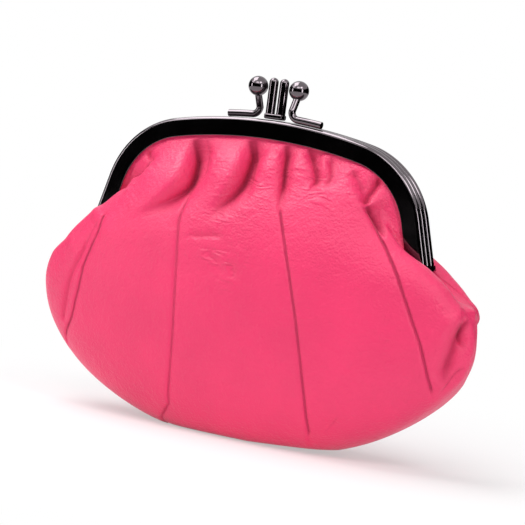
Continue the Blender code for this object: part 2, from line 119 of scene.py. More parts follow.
class PurseClaspSizes(PropertyGroup):
    ball_radius: length("Ball", "Radius of a clasp ball", 0.0029)
    ball_spread: length("Spread", "Ball from the middle", 0.0066)
    ball_rise: length("Rise", "Ball above the crown", 0.0092)
    wire_radius: length("Wire", "Radius of a stem", 0.00105)
    wire_bend: length("Bend", "Radius of a stem's bend", 0.0022)
    wire_foot: length("Foot", "Length of a stem's foot", 0.0076)
    rod_radius: length("Rod", "Radius of a catch rod", 0.00135)


class PurseCameraSizes(PropertyGroup):
    turn: angle("Turn", "To the right of the purse's front", 27)
    lift: angle("Lift", "Above the level of the aim", 4.6)
    roll: angle("Roll", "Tilt of the picture, to the left", 7.4)
    distance: length("Distance", "From the aim", 0.65)
    aim_height: length("Aim", "Height of the aim", 0.05)
    shift_right: length("Shift right", "Camera past its aim, to the right", 0.00167)
    shift_down: length("Shift down", "Camera past its aim, downwards", 0.00121)
    lens: FloatProperty(name="Lens", description="Focal length in millimetres", default=154.7, unit="CAMERA")
    sensor: FloatProperty(name="Sensor", description="Width in millimetres", default=36.0, unit="CAMERA")


def frame_sizes():
    return bpy.context.scene.purse_frame


def bag_sizes():
    return bpy.context.scene.purse_bag


def clasp_sizes():
    return bpy.context.scene.purse_clasp


def camera_sizes():
    return bpy.context.scene.purse_camera


def linear(code):
    """A written sRGB colour as linear red, green, blue and alpha."""
    parts = [int(code[place : place + 2], 16) / 255 for place in (1, 3, 5)]
    return (*[part / 12.92 if part <= 0.04045 else ((part + 0.055) / 1.055) ** 2.4 for part in parts], 1.0)


def scaled(code, factor):
    """A written colour, darker or lighter by a factor."""
    return (*[part * factor for part in linear(code)[:3]], 1.0)


def node(tree, kind, settings=(), sockets=(), links=()):
    """Adds a node: settings are its own values, sockets its inputs' values, links its inputs' sources."""
    made = tree.nodes.new(kind)
    for key, value in dict(settings).items():
        setattr(made, key, value)
    for key, value in dict(sockets).items():
        made.inputs[key].default_value = value
    for key, source in dict(links).items():
        tree.links.new(source, made.inputs[key])
    return made


def new_material(name, sockets):
    """A material, its tree, its Principled shader with some values set, and Object coordinates."""
    made = bpy.data.materials.new(name)
    made.use_nodes = True
    tree = made.node_tree
    tree.nodes.clear()
    shader = node(tree, "ShaderNodeBsdfPrincipled", {}, sockets)
    node(tree, "ShaderNodeOutputMaterial", links={"Surface": shader.outputs[0]})
    place = node(tree, "ShaderNodeTexCoord").outputs["Object"]
    return made, tree, shader, place


def nappa_leather(name, code):
    """Drum-coloured nappa, satin with a fine pebble grain; painted shade darkens its duller folds and seams.
    """
    values = {"IOR": 1.46, "Sheen Weight": 0.05, "Sheen Roughness": 0.45}
    made, tree, shader, place = new_material(name, values)
    # Pores 0.67 mm apart, a pebble grain of 1.6 mm, soft creases of 6.7 mm and puckers of 2.4 mm.
    pores = node(
        tree, "ShaderNodeTexVoronoi", {"feature": "F1"}, {"Scale": 1 / 0.00067, "Randomness": 1.0},
        {"Vector": place},
    )
    pebble = node(
        tree, "ShaderNodeTexNoise", {}, {"Scale": 1 / 0.0016, "Detail": 5.0, "Roughness": 0.6},
        {"Vector": place},
    )
    crease = node(
        tree, "ShaderNodeTexNoise", {},
        {"Scale": 1 / 0.0067, "Detail": 7.0, "Roughness": 0.62, "Distortion": 0.8}, {"Vector": place},
    )
    stretched = node(tree, "ShaderNodeMapping", {}, {"Scale": (0.35, 0.35, 1.0)}, {"Vector": place})
    wrinkle = node(
        tree, "ShaderNodeTexNoise", {"noise_type": "RIDGED_MULTIFRACTAL"},
        {"Scale": 1 / 0.0024, "Detail": 3.0, "Roughness": 0.5, "Distortion": 1.2},
        {"Vector": stretched.outputs["Vector"]},
    )
    gathered = node(tree, "ShaderNodeAttribute", {"attribute_name": "crumple"})
    puckers = node(
        tree, "ShaderNodeMath", {"operation": "MULTIPLY"}, {},
        {0: gathered.outputs["Fac"], 1: wrinkle.outputs["Fac"]},
    )
    way = node(tree, "ShaderNodeAttribute", {"attribute_name": "seam"}).outputs["Fac"]
    sewn = node(tree, "ShaderNodeAttribute", {"attribute_name": "sewn"}).outputs["Fac"]
    squared = node(tree, "ShaderNodeMath", {"operation": "MULTIPLY"}, {}, {0: way, 1: way})
    fall = node(tree, "ShaderNodeMath", {"operation": "MULTIPLY"}, {1: -1 / 0.32**2}, {0: squared.outputs[0]})
    slot = node(tree, "ShaderNodeMath", {"operation": "EXPONENT"}, {}, {0: fall.outputs[0]})
    groove = node(tree, "ShaderNodeMath", {"operation": "MULTIPLY"}, {}, {0: slot.outputs[0], 1: sewn})
    relief = node(
        tree, "ShaderNodeMath", {"operation": "MULTIPLY_ADD"}, {1: -0.6},
        {0: groove.outputs[0], 2: puckers.outputs[0]},
    )
    grain = node(
        tree, "ShaderNodeMath", {"operation": "MULTIPLY_ADD"}, {1: 0.35},
        {0: pores.outputs["Distance"], 2: pebble.outputs["Fac"]},
    )
    # The grain is bumped first, then the soft creases, then the puckers and the seams.
    normal = {}
    for height, strength, distance in (
        (grain.outputs[0], 0.55, 0.0005),
        (crease.outputs["Fac"], 0.34, 0.0012),
        (relief.outputs[0], 0.9, 0.0009),
    ):
        depth = {"Strength": strength, "Distance": distance}
        bump = node(tree, "ShaderNodeBump", {}, depth, {"Height": height, **normal})
        normal = {"Normal": bump.outputs["Normal"]}
    tree.links.new(bump.outputs["Normal"], shader.inputs["Normal"])
    # The dye is a little uneven over about 22 mm. Painted shade darkens the seams, 0.32 mm wide, and the
    # hollows.
    cloud = node(tree, "ShaderNodeTexNoise", {}, {"Scale": 1 / 0.022, "Detail": 3.0}, {"Vector": place})
    hollow = node(tree, "ShaderNodeAttribute", {"attribute_name": "hollow"})
    # Painted shade in the seam grooves.
    dark = node(tree, "ShaderNodeMath", {"operation": "MULTIPLY"}, {1: 0.45}, {0: groove.outputs[0]})
    shade = node(
        tree, "ShaderNodeMath", {"operation": "MAXIMUM"}, {}, {0: dark.outputs[0], 1: hollow.outputs["Fac"]}
    )
    tone = node(tree, "ShaderNodeValToRGB", {}, {}, {"Fac": cloud.outputs["Fac"]})
    tone.color_ramp.elements[0].position = 0.3
    tone.color_ramp.elements[0].color = scaled(code, 0.90)
    tone.color_ramp.elements[1].position = 0.7
    tone.color_ramp.elements[1].color = linear(code)
    # The deep red is painted shade, laid over the uneven dye in the seam grooves and the fold hollows.
    dye_and_painted_shade = node(
        tree, "ShaderNodeMix", {"data_type": "RGBA"}, {"B": linear("#960C38")},
        {"Factor": shade.outputs[0], "A": tone.outputs["Color"]},
    )
    tree.links.new(dye_and_painted_shade.outputs["Result"], shader.inputs["Base Color"])
    dull = node(
        tree, "ShaderNodeMapRange", {},
        {"From Min": 0.0, "From Max": 0.7, "To Min": 0.40, "To Max": 0.85}, {"Value": shade.outputs[0]},
    )
    tree.links.new(dull.outputs[0], shader.inputs["Roughness"])
    return made


def black_nickel(name, code):
    """Polished steel plated black: a dark mirror with faint polishing haze and a hint of warm grey."""
    made, tree, shader, place = new_material(name, {"Metallic": 1.0})
    # Polishing marks of about 8 mm change the gloss a little.
    haze = node(tree, "ShaderNodeTexNoise", {}, {"Scale": 1 / 0.0083, "Detail": 3.0}, {"Vector": place})
    rough = node(
        tree, "ShaderNodeMapRange", {},
        {"From Min": 0.3, "From Max": 0.75, "To Min": 0.07, "To Max": 0.13},
        {"Value": haze.outputs["Fac"]},
    )
    tree.links.new(rough.outputs[0], shader.inputs["Roughness"])
    tint = node(tree, "ShaderNodeValToRGB", {}, {}, {"Fac": haze.outputs["Fac"]})
    tint.color_ramp.elements[0].color = linear(code)
    tint.color_ramp.elements[1].color = scaled(code, 1.25)
    tree.links.new(tint.outputs["Color"], shader.inputs["Base Color"])
    return made


def woven_lining(name, code):
    """Plain woven polyester: dark threads over and under, drawn at 0.5 mm so that the weave shows."""
    made, tree, shader, place = new_material(name, {"Roughness": 0.62, "Sheen Weight": 0.25})
    # A wave is one thread over and one under, so 1 mm.
    thread = math.tau / 20 / 0.001
    waves = [
        node(
            tree, "ShaderNodeTexWave", {"bands_direction": direction},
            {"Scale": thread, "Distortion": 0.4}, {"Vector": place},
        )
        for direction in ("X", "Z")
    ]
    weave = node(
        tree, "ShaderNodeMath", {"operation": "MULTIPLY"}, {},
        {0: waves[0].outputs["Fac"], 1: waves[1].outputs["Fac"]},
    )
    bump = node(
        tree, "ShaderNodeBump", {}, {"Strength": 0.35, "Distance": 0.0002}, {"Height": weave.outputs[0]}
    )
    tree.links.new(bump.outputs["Normal"], shader.inputs["Normal"])
    tone = node(tree, "ShaderNodeValToRGB", {}, {}, {"Fac": weave.outputs[0]})
    tone.color_ramp.elements[0].color = linear(code)
    tone.color_ramp.elements[1].color = scaled(code, 2.2)
    tree.links.new(tone.outputs["Color"], shader.inputs["Base Color"])
    return made


def paper_twist(name):
    """Twisted kraft paper: matt brown with darker turns."""
    made, tree, shader, place = new_material(name, {"Roughness": 0.9})
    # Turns of the twist 1.4 mm apart.
    turns = node(
        tree, "ShaderNodeTexWave", {"bands_direction": "DIAGONAL"},
        {"Scale": math.tau / (10 * math.sqrt(3)) / 0.0014, "Distortion": 1.5}, {"Vector": place},
    )
    tone = node(tree, "ShaderNodeValToRGB", {}, {}, {"Fac": turns.outputs["Fac"]})
    tone.color_ramp.elements[0].color = linear("#9C835F")
    tone.color_ramp.elements[1].color = linear("#C9AE86")
    tree.links.new(tone.outputs["Color"], shader.inputs["Base Color"])
    return made


def finished(name, bm, material, round_shaded=True):
    """A mesh object from a bmesh, which is freed."""
    mesh = bpy.data.meshes.new(name)
    for face in bm.faces:
        face.smooth = round_shaded
    bm.to_mesh(mesh)
    bm.free()
    mesh.materials.append(material)
    obj = bpy.data.objects.new(name, mesh)
    bpy.context.scene.collection.objects.link(obj)
    return obj


def thicken(obj, thickness):
    """Gives a cloth its thickness, half to each side."""
    thick = obj.modifiers.new("cloth", "SOLIDIFY")
    thick.thickness = thickness
    thick.offset = 0.0


def verts_of(made):
    """The vertices among what a bmesh operator made."""
    return [item for item in made["geom"] if isinstance(item, bmesh.types.BMVert)]


def kept_material(name, maker, *values):
    """A material that several operators share."""
    return bpy.data.materials.get(name) or maker(name, *values)


def gunmetal():
    return kept_material("black_nickel_plate", black_nickel, frame_sizes().metal)


def pink_nappa():
    return kept_material("pink_nappa", nappa_leather, bag_sizes().pink)


def lining_cloth():
    return kept_material("woven_lining", woven_lining, bag_sizes().cloth)


# The camera


def camera_place():
    """The camera's spot, and its directions to the right, up and back."""
    size = camera_sizes()
    away = Vector(
        (
            math.sin(size.turn) * math.cos(size.lift),
            -math.cos(size.turn) * math.cos(size.lift),
            math.sin(size.lift),
        )
    )
    level_right = Vector((math.cos(size.turn), math.sin(size.turn), 0))
    level_up = away.cross(level_right)
    right = math.cos(size.roll) * level_right + math.sin(size.roll) * level_up
    up = -math.sin(size.roll) * level_right + math.cos(size.roll) * level_up
    spot = Vector((0, 0, size.aim_height)) + away * size.distance
    return spot + right * size.shift_right - up * size.shift_down, right, up, away


def in_photo(points):
    """Pixels of the photograph at which the camera sees points."""
    spot, right, up, away = (np.array(item) for item in camera_place())
    ray = points - spot
    scale = camera_sizes().lens / camera_sizes().sensor * PHOTO_WIDTH / -(ray @ away)
    return PHOTO_WIDTH / 2 + np.stack([scale * (ray @ right), -scale * (ray @ up)], -1)


# The arch of the frame


def arch(share, inset, y):
    """Points of the arch: share runs from -1 at the left foot over the crown to 1 at the right foot."""
    size = frame_sizes()
    rise = CROWN_HEIGHT - HINGE_HEIGHT
    share, inset, y = np.broadcast_arrays(share, inset, y)
    below = rise - size.crown_radius
    flare = size.leg_flare
    reach = size.half_width * math.cos(flare) - below * math.sin(flare) - size.shoulder_radius
    meet = flare + math.acos(reach / (size.crown_radius - size.shoulder_radius))
    centre_x = (size.crown_radius - size.shoulder_radius) * math.cos(meet)
    centre_z = below + (size.crown_radius - size.shoulder_radius) * math.sin(meet)
    leg_z = centre_z + size.shoulder_radius * math.sin(flare)
    crown = size.crown_radius * (math.pi / 2 - meet)
    shoulder = size.shoulder_radius * (meet - flare)
    run = np.abs(share) * (crown + shoulder + (leg_z - size.leg_foot) / math.cos(flare))
    down = np.maximum(run - crown - shoulder, 0.0)
    on_crown = run <= crown
    turned = np.where(
        on_crown,
        math.pi / 2 - run / size.crown_radius,
        np.maximum(meet - (run - crown) / size.shoulder_radius, flare),
    )
    radius = np.where(on_crown, size.crown_radius, size.shoulder_radius) - inset
    x = np.where(on_crown, 0.0, centre_x) + radius * np.cos(turned) + down * math.sin(flare)
    z = np.where(on_crown, below, centre_z) + radius * np.sin(turned) - down * math.cos(flare)
    return np.stack([np.where(share < 0, -x, x), y + 0.0 * x, HINGE_HEIGHT + z], -1)


def channel_y(which):
    size = frame_sizes()
    return which * (size.width + size.gap)


def mapped_grid(name, across, along, place, material):
    """A grid of faces whose points (u, v), each from 0 to 1, go to place(u, v)."""
    bm = bmesh.new()
    bmesh.ops.create_grid(bm, x_segments=across, y_segments=along, size=0.5)
    obj = finished(name, bm, material)
    flat = np.empty(len(obj.data.vertices) * 3)
    obj.data.vertices.foreach_get("co", flat)
    flat = flat.reshape(-1, 3)
    points = place(flat[:, 0] + 0.5, flat[:, 1] + 0.5)
    obj.data.vertices.foreach_set("co", np.ascontiguousarray(points).ravel())
    obj.data.update()
    return obj


# The bag's skin


# Squareness of a level and of the outline, and the way down and up from the belly to where the bag closes.
LEVEL_SQUARE, BELLY_SQUARE, BELLY_BELOW, BELLY_ABOVE = 2.2, 2.4, 0.0385, 0.027
# The side seams draw the skin in by this much, over this depth.
SEAM_PINCH, PINCH_REACH = 0.0018, 0.006


def smooth(edge0, edge1, value):
    """0 up to the first edge, 1 from the second, and an even rise between them."""
    share = np.clip((value - edge0) / (edge1 - edge0), 0.0, 1.0)
    return share * share * (3 - 2 * share)


def belly(z):
    """Width of a level of the bag as a share of the widest level."""
    height = bag_sizes().belly_height
    away = np.where(z < height, (height - z) / BELLY_BELOW, (z - height) / BELLY_ABOVE)
    return np.maximum(1 - np.clip(away, 0.0, 0.98) ** BELLY_SQUARE, 0.05) ** (1 / BELLY_SQUARE)


def slice_point(t, wide, deep, z):
    """Front half of a level: t runs from the left seam over the front to the right seam."""
    turn = np.pi * (1 - t)
    x = wide * np.sign(np.cos(turn)) * np.abs(np.cos(turn)) ** (2 / LEVEL_SQUARE)
    y = -SEAM_GAP - deep * np.maximum(np.sin(np.pi * t), 0.0) ** (2 / LEVEL_SQUARE)
    pinch = SEAM_PINCH * wide / bag_sizes().half_width * np.exp(-((y / PINCH_REACH) ** 2))
    return np.stack([x - np.sign(x) * pinch, y, z + 0.0 * x], -1)


# Shares of the way up the skin at which the floor, the wall and the gathered mouth end, and of its ends.
FLOOR_END, WALL_END, LIP = 0.085, 0.52, 0.985
EAR = 0.05
# Gaps from the middle plane and below the flange, the reach up into the channel's slot, and how far the lip
# ends from a leg's foot.
SEAM_GAP, LIP_GAP, SLOT_REACH, LIP_SHORT = 0.00002, 0.0003, 0.0019, 0.0026
# The gathered mouth: how it leaves the pouch and the lip, and its puff at the ends and in the middle.
MOUTH_RISE, LIP_PULL, END_PUFF, MIDDLE_PUFF = 0.014, 0.0100, 0.0045, 0.0050


def wall_point(t, v):
    size = bag_sizes()
    lift = np.clip((v - FLOOR_END) / (WALL_END - FLOOR_END), 0.0, 1.0)
    z = size.pouch_height * (0.35 * lift + 0.65 * lift * lift)
    full = slice_point(t, size.half_width * belly(z), size.half_depth * belly(z), z)
    spread = 0.06 + 0.94 * np.clip(v / FLOOR_END, 0.0, 1.0)
    full[..., 1] = -SEAM_GAP + (full[..., 1] + SEAM_GAP) * spread
    return full


def lip_point(t, inset):
    size = frame_sizes()
    # Half of the arch is about 40 mm longer than its half width.
    share = (2 * t - 1) * (1 - LIP_SHORT / (0.040 + size.half_width))
    return arch(share, inset, channel_y(-1) - bag_sizes().leather / 2)


def mouth_point(t, s):
    """Gathered part from the pouch's top, s = 0, to the lip under the channel, s = 1."""
    size = frame_sizes()
    inner = np.clip(t, EAR, 1 - EAR)
    start = wall_point(inner, WALL_END + 0.0 * inner)
    lip = lip_point(inner, size.depth + LIP_GAP)
    deeper = lip_point(inner, size.depth + LIP_GAP + 0.001)
    inwards = (deeper - lip) / 0.001
    lean = 1 - np.sin(np.pi * inner)
    rise = np.zeros_like(start)
    rise[..., 2] = MOUTH_RISE * (1 - 0.95 * lean)
    pull = inwards * LIP_PULL
    pull[..., 1] -= END_PUFF + MIDDLE_PUFF * smooth(0.18, 0.36, np.minimum(inner, 1 - inner))
    s = s[..., None]
    curve = (
        start * (1 - s) ** 3
        + (start + rise) * 3 * s * (1 - s) ** 2
        + (lip + pull) * 3 * s * s * (1 - s)
        + lip * s**3
    )
    # At the ends the skin turns in behind the leg's foot and meets the other half along the hinge line.
    side = np.where(t < 0.5, -1.0, 1.0)
    s = s[..., 0]
    seam_x = np.interp(s, [0.0, 0.35, 0.7, 1.0], [0.0682, 0.0625, 0.0570, 0.0545])
    seam_y = np.interp(s, [0.0, 0.35, 0.7, 1.0], [-SEAM_GAP, -SEAM_GAP, -0.0003, -0.0030])
    seam_z = np.interp(s, [0.0, 0.35, 0.7, 1.0], [0.0455, 0.0478, 0.0492, 0.0530])
    seam = np.stack([side * seam_x, seam_y, seam_z], -1)
    into = smooth(0.0, EAR, np.minimum(t, 1 - t))[..., None]
    return seam * (1 - into) + curve * into


def skin_base(t, v):
    """The front skin before its folds, in metres."""
    size = frame_sizes()
    low = wall_point(t, np.minimum(v, WALL_END))
    high = mouth_point(t, np.clip((v - WALL_END) / (LIP - WALL_END), 0.0, 1.0))
    slot = lip_point(t, size.depth + LIP_GAP - SLOT_REACH * np.clip((v - LIP) / (1 - LIP), 0.0, 1.0))
    tucked = np.minimum(t, 1 - t)[..., None] < 0.004
    slot = np.where(tucked, high, slot)
    out = np.where((v <= WALL_END)[..., None], low, np.where((v <= LIP)[..., None], high, slot))
    return settled(out)


def settled(points):
    """The soft bag as it has settled: slipped to the right, sunk on the left and lifted on the right."""
    x, z = points[..., 0].copy(), points[..., 2].copy()
    # The foot slips, less so at the right end.
    slip = bag_sizes().lean * (1 - smooth(0.0, 0.055, z)) * (1 - 0.9 * smooth(0.020, 0.060, x))
    # Both ends bulge at the height of the gathers, and the right one at the belly too.
    ends = 1.7 * smooth(0.055, 0.068, x) - smooth(0.055, 0.068, -x)
    ends *= 0.0010 * np.exp(-(((z - 0.044) / 0.010) ** 2))
    ends += 0.0017 * np.exp(-(((z - 0.031) / 0.009) ** 2)) * smooth(0.050, 0.066, x)
    # The underside rests on its middle, and the left end hangs down.
    sink = np.interp(
        x,
        [-0.070, -0.045, -0.022, 0.005, 0.025, 0.040, 0.060],
        [0.0012, 0.0000, -0.0015, -0.0014, -0.0002, 0.0012, 0.0034],
    )
    drop = 0.0036 * smooth(0.044, 0.068, -x) * smooth(0.015, 0.042, z)
    points[..., 0] = x + slip + ends
    points[..., 2] = z + sink * (1 - smooth(0.0, 0.034, z)) - drop
    return points


def level(surface, amount, rows):
    """Rounds the rows of a surface (along, across, xyz) below its lip."""
    kernel = np.exp(-0.5 * (np.arange(-3 * amount, 3 * amount + 1) / amount) ** 2)
    kernel /= kernel.sum()
    padded = np.concatenate([surface[:1].repeat(3 * amount, 0), surface, surface[-1:].repeat(3 * amount, 0)])
    rounded = sum(weight * padded[i : i + len(surface)] for i, weight in enumerate(kernel))
    share = (smooth(0.01, 0.05, rows) * (1 - smooth(0.90, 0.96, rows)))[:, None, None]
    return surface * (1 - share) + rounded * share


def normals(surface):
    """Outward unit normals of the front skin's grid."""
    along = np.gradient(surface, axis=0)
    across = np.gradient(surface, axis=1)
    out = np.cross(across, along)
    return out / np.maximum(np.linalg.norm(out, axis=-1, keepdims=True), 1e-12)


# Where the photograph shows folds, seams and crumpled grain, as pixels from its upper left corner.
# A fold has its path, its depth into the bag, its reach to the left and the right of the path and the pull
# of its left side over it, all in millimetres, and the shares of the path over which it starts and ends.
PHOTO_FOLDS = {
    "deep valley left of the middle": (
        ((195, 137), (192, 152), (189, 167), (184, 180), (175, 191), (162, 201), (147, 210), (134, 220)),
        5.4, 1.2, 3.4, 1.6, (0.2, 0.7),
    ),
    "broad ridge that sweeps to the left end": (
        ((188, 139), (185, 152), (181, 167), (175, 180), (164, 191), (149, 202), (132, 212), (114, 226)),
        -1.7, 10.0, 1.2, 0, (0.42, 0.5),
    ),
    "valley between that ridge and the frame's corner": (
        ((152, 160), (140, 172), (127, 187), (119, 200)),
        1.6, 1.6, 0.9, 0, (0.3, 0.2),
    ),
    "crease at the frame's left corner": (
        ((147, 149), (149, 157), (155, 163)),
        1.0, 0.6, 0.9, 0.3, (0.2, 0.3),
    ),
    "line beside the deep valley": (
        ((207, 138), (206, 155), (203, 172), (196, 184)),
        0.8, 1.1, 0.8, 0.2, (0.2, 0.5),
    ),
    "second deep valley": (
        ((251, 138), (249, 150), (245, 163), (239, 177), (231, 190), (221, 202), (213, 214), (210, 228)),
        4.4, 1.2, 2.8, 1.3, (0.2, 0.6),
    ),
    "ridge beside it": (
        ((246, 140), (242, 153), (235, 168), (227, 182), (216, 195), (202, 208)),
        -1.6, 6.5, 1.2, 0, (0.42, 0.5),
    ),
    "line to its right": (((256, 139), (252, 165), (247, 190), (243, 208)), 0.9, 1.2, 1.0, 0.3, (0.2, 0.5)),
    "puff left of the slit": (((271, 142), (267, 165), (262, 190)), -1.2, 3.2, 3.2, 0, (0.42, 0.5)),
    "slit over the right inner seam": (
        ((287, 144), (284, 160), (281, 180), (279, 198), (279, 218)),
        3.2, 0.9, 1.8, 0.9, (0.2, 0.6),
    ),
    "puff right of the slit": (((298, 147), (295, 165), (292, 190)), -0.9, 2.6, 2.6, 0, (0.42, 0.5)),
    "crumpled fold": (((309, 148), (313, 162), (315, 178), (311, 192)), 2.4, 0.9, 1.6, 0.6, (0.2, 0.4)),
    "puff beside it": (((322, 152), (323, 168), (318, 183)), -1.1, 2.4, 2.0, 0, (0.42, 0.5)),
    "soft valley beside the puff": (((332, 155), (331, 175), (322, 190)), 1.4, 1.0, 1.8, 0.3, (0.2, 0.4)),
    "broad puff on the right": (
        ((347, 160), (350, 180), (358, 205), (370, 240)),
        -1.3, 4.0, 4.0, 0, (0.42, 0.5),
    ),
    "dimple on the right": (((352, 171), (360, 184), (364, 198)), 1.3, 1.6, 1.2, 0, (0.2, 0.4)),
    "crease at the frame's right corner": (
        ((380, 177), (373, 189), (364, 207)),
        2.0, 1.2, 0.9, 0.4, (0.2, 0.15),
    ),
    "crescent hollow under the corner": (
        ((366, 206), (373, 216), (380, 227), (389, 239)),
        3.0, 0.9, 3.0, 1.0, (0.25, 0.5),
    ),
    "hollow at the right end": (
        ((463, 322), (458, 345), (450, 367), (443, 388)),
        3.2, 2.5, 3.2, 0, (0.3, 0.3),
    ),
    "slit at the right end": (((469, 320), (465, 332), (469, 350)), 2.2, 1.0, 1.2, 0, (0.25, 0.3)),
    "lower edge at the right end": (((467, 368), (455, 381), (439, 394)), 0.9, 0.6, 1.0, 0.3, (0.3, 0.3)),
    "ridge before the right end": (
        ((452, 296), (458, 312), (450, 328), (443, 350), (438, 378)),
        -1.4, 2.6, 1.6, 0, (0.4, 0.4),
    ),
    "second fold beside the left outer seam": (
        ((103, 215), (82, 250), (70, 275), (64, 305), (62, 322)),
        0.8, 0.7, 1.0, 0.2, (0.3, 0.1),
    ),
    "level crease": (((183, 234), (200, 236), (213, 235), (225, 238)), 0.6, 0.6, 0.7, 0, (0.3, 0.3)),
    "pucker": (((205, 245), (215, 262), (228, 280)), 0.4, 0.8, 0.8, 0, (0.4, 0.4)),
    "pucker on the right": (((228, 258), (232, 270), (236, 282)), 0.5, 0.7, 0.7, 0, (0.4, 0.4)),
    "faint arc": (((200, 386), (220, 387), (240, 380), (252, 370)), 0.15, 0.6, 0.6, 0, (0.4, 0.4)),
    "crease at the foot": (((337, 417), (332, 425), (322, 435)), 0.5, 0.7, 0.7, 0, (0.4, 0.4)),
}
# Pixels between the points that are traced of a seam, and points along a path on the skin.
SEAM_STEP, PATH_POINTS = 16, 36
# A point turned away from the camera counts as 20 pixels off.
HIDDEN_MISS = 20.0**2
# Roundness of a valley's bottom and a ridge's top, and how far a pull is felt.
VALLEY_BLUNT, RIDGE_BLUNT, PULL_REACH = 0.0003, 0.0009, 0.003
# A seam's dip and its reach, and the welt on its left and its reach.
SEAM_DIP, DIP_REACH, WELT, WELT_REACH = 0.00035, 0.0016, 0.0004, 0.0022
# Faces across and up each cloth, and the grid on which the photograph is traced.
LEATHER_GRID, LINING_GRID, DIVIDER_GRID, TRACE_GRID = (380, 250), (120, 90), (80, 60), (640, 440)
# A seam has its path and how clearly it shows, in its groove and in its painted shade.
PHOTO_SEAMS = {
    "left outer seam": (((105, 213), (93, 240), (84, 262), (75, 300), (66, 338)), 1.0),
    "left inner seam": (((186, 190), (178, 222), (172, 330), (165, 424)), 0.7),
    "right inner seam": (((279, 205), (283, 235), (295, 320), (308, 438)), 1.0),
    "right outer seam": (
        ((364, 207), (374, 225), (385, 245), (397, 275), (405, 300), (420, 345), (432, 396)),
        1.0,
    ),
}
# A crumpled patch has its middle, its radius in millimetres and its strength.
PHOTO_CRUMPLES = {
    "between the deep valleys": ((218, 162), 7, 0.9),
    "left of the slit": ((268, 172), 7, 0.8),
    "beside the slit": ((262, 195), 6, 0.5),
    "crumpled fold": ((312, 178), 6, 1.0),
    "beside the crumpled fold": ((325, 190), 6, 0.8),
    "right corner": ((358, 186), 5, 0.9),
    "left corner": ((132, 180), 5, 0.8),
    "worn patch": ((220, 262), 8, 1.0),
    "under the second valley": ((222, 210), 6, 0.6),
}
# Folds that the frame hides or that one half has alone, as shares across and up the skin.
OWN_FOLDS = {
    "front": (
        (((0.198, 0.694), (0.195, 0.641), (0.179, 0.570)), 1.0, 5.0, 5.0, 0, (0.3, 0.4)),
        (((0.88, 0.80), (0.92, 0.72), (0.94, 0.64), (0.95, 0.57)), -2.2, 4.2, 4.2, 0, (0.4, 0.5)),
        (((0.12, 0.78), (0.085, 0.72), (0.07, 0.64)), -1.6, 4.2, 4.2, 0, (0.4, 0.4)),
    ),
    "back": ((((0.88, 0.80), (0.92, 0.72), (0.94, 0.64), (0.95, 0.57)), -1.4, 4.2, 4.2, 0, (0.4, 0.5)),),
}


def curve_through(points, count):
    """Evenly counted points on a smooth curve through the given ones."""
    points = np.asarray(points, float)
    ends = np.vstack([2 * points[0] - points[1], points, 2 * points[-1] - points[-2]])
    place = np.linspace(0, len(points) - 1 - 1e-9, count)
    at = place.astype(int)
    part = (place - at)[:, None]
    a, b, c, d = (ends[at + i] for i in range(4))
    return 0.5 * (
        2 * b + (c - a) * part + (2 * a - 5 * b + 4 * c - d) * part**2 + (3 * b - a - 3 * c + d) * part**3
    )


def on_grid(path, grid):
    """Points of a grid (along, across, ...) at shares (across, up)."""
    along, across = grid.shape[0] - 1, grid.shape[1] - 1
    rows = np.clip(path[:, 1], 0.0, 1.0) * along
    columns = np.clip(path[:, 0], 0.0, 1.0) * across
    row, column = np.minimum(rows.astype(int), along - 1), np.minimum(columns.astype(int), across - 1)
    down, over = (rows - row)[:, None], (columns - column)[:, None]
    low = grid[row, column] * (1 - over) + grid[row, column + 1] * over
    high = grid[row + 1, column] * (1 - over) + grid[row + 1, column + 1] * over
    return low * (1 - down) + high * down


def dense(points, step):
    """Points along a line of pixels, about a step apart."""
    points = np.asarray(points, float)
    parts = []
    for start, end in zip(points, points[1:]):
        count = max(1, round(np.linalg.norm(end - start) / step))
        parts.append(np.linspace(start, end, count, endpoint=False))
    return np.vstack([*parts, points[-1:]])


def skin_in_photo():
    """Pixels at which the camera sees the front skin's grid, and which points are turned away from it."""
    across, along = TRACE_GRID
    rows = np.linspace(0, 1, along + 1)
    base = level(skin_base(*np.meshgrid(np.linspace(0, 1, across + 1), rows)), along // 60, rows)
    spot = np.array(camera_place()[0])
    return in_photo(base), ((spot - base) * normals(base)).sum(-1) <= 0


def on_skin(pixels, seen, hidden):
    """Shares (across, up) of the front skin that the camera sees at some pixels."""
    along, across = hidden.shape[0] - 1, hidden.shape[1] - 1
    shares = []
    for pixel in np.asarray(pixels, float):
        miss = ((seen - pixel) ** 2).sum(-1) + HIDDEN_MISS * hidden
        row, column = np.unravel_index(np.argmin(miss), miss.shape)
        row, column = np.clip(row, 1, along - 1), np.clip(column, 1, across - 1)
        upward = (seen[row + 1, column] - seen[row - 1, column]) / 2
        sideways = (seen[row, column + 1] - seen[row, column - 1]) / 2
        step = np.linalg.lstsq(np.stack([sideways, upward], -1), pixel - seen[row, column], rcond=None)[0]
        step = np.clip(step, -0.5, 0.5)
        shares.append(((column + step[0]) / across, (row + step[1]) / along))
    return shares


def folds_of(half, view):
    """The folds of one half, with their paths as shares of the skin; the back's are the front's, mirrored."""
    return [*OWN_FOLDS[half], *[(on_skin(path, *view), *shape) for path, *shape in PHOTO_FOLDS.values()]]


